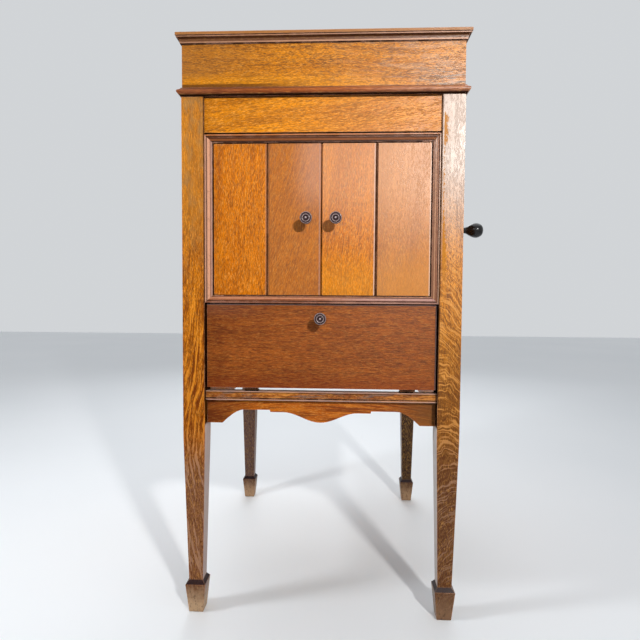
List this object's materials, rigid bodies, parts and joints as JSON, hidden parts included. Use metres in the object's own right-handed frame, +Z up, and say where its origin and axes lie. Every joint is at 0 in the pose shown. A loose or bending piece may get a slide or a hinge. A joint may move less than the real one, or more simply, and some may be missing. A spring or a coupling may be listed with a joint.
{
  "type": "gramophone cabinet",
  "caption": "Floor-standing oak gramophone: legged case with hinged lid, two horn doors, drop flap, turntable, tone arm, motor and side crank.",
  "frame": {"origin": "on the floor, midway between the four feet", "axes": "+Z up, -Y the front with the doors, +X the side with the crank"},
  "size_m": [0.5721, 0.557, 0.9688],
  "materials": {
    "oak_golden": "waxed quarter-sawn oak, golden",
    "oak_brown": "waxed oak, red-brown",
    "oak_flap": "waxed oak, darker flap board",
    "oak_moulding": "dark polished oak moulding",
    "oak_inside": "bare inner oak",
    "knob_wood": "turned, dark polished",
    "brass": "aged brass",
    "nickel": "nickel plate, lightly worn",
    "iron": "black japanned iron",
    "spring_steel": "blued spring steel",
    "ebony": "black gloss handle",
    "felt": "green felt",
    "mica": "mica sheet"
  },
  "bodies": {
    "cabinet": {"left_front_leg": "oak_golden", "right_front_leg": "oak_golden", "left_back_leg": "oak_golden", "right_back_leg": "oak_golden", "front_top_rail": "oak_golden", "front_bottom_rail": "oak_golden", "front_apron": "oak_golden", "left_side_panel": "oak_golden", "right_side_panel": "oak_golden", "back_panel": "oak_brown", "back_screws": "brass", "door_surround": "oak_moulding", "surround_brass": "brass", "record_floor": "oak_inside", "middle_shelf": "oak_inside", "bearers": "oak_inside", "motor_board": "oak_brown", "horn_front_frame": "oak_brown", "horn_boards": "oak_brown", "horn_elbow": "iron", "crank_escutcheon": "nickel", "case_hinge_leaves": "brass", "needle_cups": "nickel", "tonearm_base": "nickel", "motor_plates": "brass", "motor_pillars": "nickel"},
    "lid": {"lid_top_panel": "oak_golden", "lid_frieze_boards": "oak_golden", "crown_moulding": "oak_moulding", "lid_base_moulding": "oak_moulding", "lid_hinge_leaves": "brass", "lid_stay": "brass"},
    "left_door": {"left_door_boards": "oak_golden", "left_door_battens": "oak_brown", "left_door_knob": "knob_wood", "left_door_pivots": "brass"},
    "right_door": {"right_door_boards": "oak_golden", "right_door_battens": "oak_brown", "right_door_knob": "knob_wood", "right_door_pivots": "brass"},
    "flap": {"flap_board": "oak_flap", "flap_knob": "knob_wood", "flap_hinge_leaves": "brass"},
    "crank": {"winding_shaft": "iron", "crank_arm": "nickel"},
    "grip": {"crank_grip": "ebony"},
    "arbor": {"winding_arbor": "iron"},
    "turntable": {"turntable_platter": "nickel", "turntable_mat": "felt", "turntable_spindle": "nickel"},
    "intermediate": {"intermediate_wheel": "brass"},
    "barrel": {"spring_barrel": "brass", "mainspring": "spring_steel"},
    "governor": {"governor": "brass"},
    "tonearm": {"tonearm_tube": "nickel"},
    "soundbox": {"soundbox": "nickel", "diaphragm": "mica", "needle_arm": "nickel"},
    "brake": {"brake_lever": "brass"},
    "speed": {"speed_lever": "brass"}
  },
  "joints": [
    {"name": "lid_hinge", "type": "hinge", "parent": "cabinet", "child": "lid", "pos_m": [0, 0.2695, 0.86865], "axis": [-1, 0, 0], "range_deg": [0, 72]},
    {"name": "left_door_pivot", "type": "hinge", "parent": "cabinet", "child": "left_door", "pos_m": [-0.1762, -0.2535, 0.671], "axis": [0, 0, -1], "range_deg": [0, 90]},
    {"name": "right_door_pivot", "type": "hinge", "parent": "cabinet", "child": "right_door", "pos_m": [0.1762, -0.2535, 0.671], "axis": [0, 0, 1], "range_deg": [0, 90]},
    {"name": "flap_hinge", "type": "hinge", "parent": "cabinet", "child": "flap", "pos_m": [0, -0.255, 0.38725], "axis": [1, 0, 0], "range_deg": [0, 90]},
    {"name": "crank_spin", "type": "hinge", "parent": "cabinet", "child": "crank", "pos_m": [0.25, 0, 0.82], "axis": [1, 0, 0], "continuous": true},
    {"name": "grip_spin", "type": "hinge", "parent": "crank", "child": "grip", "pos_m": [0.3, 0, 0.6875], "axis": [1, 0, 0], "continuous": true},
    {"name": "arbor_spin", "type": "hinge", "parent": "cabinet", "child": "arbor", "pos_m": [0.035, 0.0309, 0.8], "axis": [0, 0, 1], "continuous": true},
    {"name": "turntable_spin", "type": "hinge", "parent": "cabinet", "child": "turntable", "pos_m": [-0.015, -0.015, 0.87], "axis": [0, 0, -1], "continuous": true},
    {"name": "intermediate_spin", "type": "hinge", "parent": "cabinet", "child": "intermediate", "pos_m": [-0.02011, 0.0277, 0.8], "axis": [0, 0, -1], "continuous": true},
    {"name": "barrel_spin", "type": "hinge", "parent": "cabinet", "child": "barrel", "pos_m": [0.035, 0.0309, 0.8], "axis": [0, 0, -1], "continuous": true},
    {"name": "governor_spin", "type": "hinge", "parent": "cabinet", "child": "governor", "pos_m": [-0.04, -0.0424, 0.81], "axis": [1, 0, 0], "continuous": true},
    {"name": "tonearm_swing", "type": "hinge", "parent": "cabinet", "child": "tonearm", "pos_m": [0.085, 0.185, 0.9], "axis": [0, 0, -1], "range_deg": [0, 36]},
    {"name": "soundbox_turn", "type": "hinge", "parent": "tonearm", "child": "soundbox", "pos_m": [0.12567, -0.0149, 0.9163], "axis": [-0.9799, -0.1994, 0], "range_deg": [0, 100]},
    {"name": "brake_swing", "type": "hinge", "parent": "cabinet", "child": "brake", "pos_m": [0.09685, -0.14829, 0.862], "axis": [0, 0, -1], "range_deg": [0, 25]},
    {"name": "speed_turn", "type": "hinge", "parent": "cabinet", "child": "speed", "pos_m": [-0.15, -0.198, 0.86], "axis": [0, 0, 1], "range_deg": [-35, 35]}
  ],
  "couplings": [
    {"joint": "arbor_spin", "follows": "crank_spin", "ratio": 0.035714},
    {"joint": "intermediate_spin", "follows": "turntable_spin", "ratio": -0.19444},
    {"joint": "barrel_spin", "follows": "turntable_spin", "ratio": 0.029167},
    {"joint": "governor_spin", "follows": "turntable_spin", "ratio": 10.5}
  ]
}
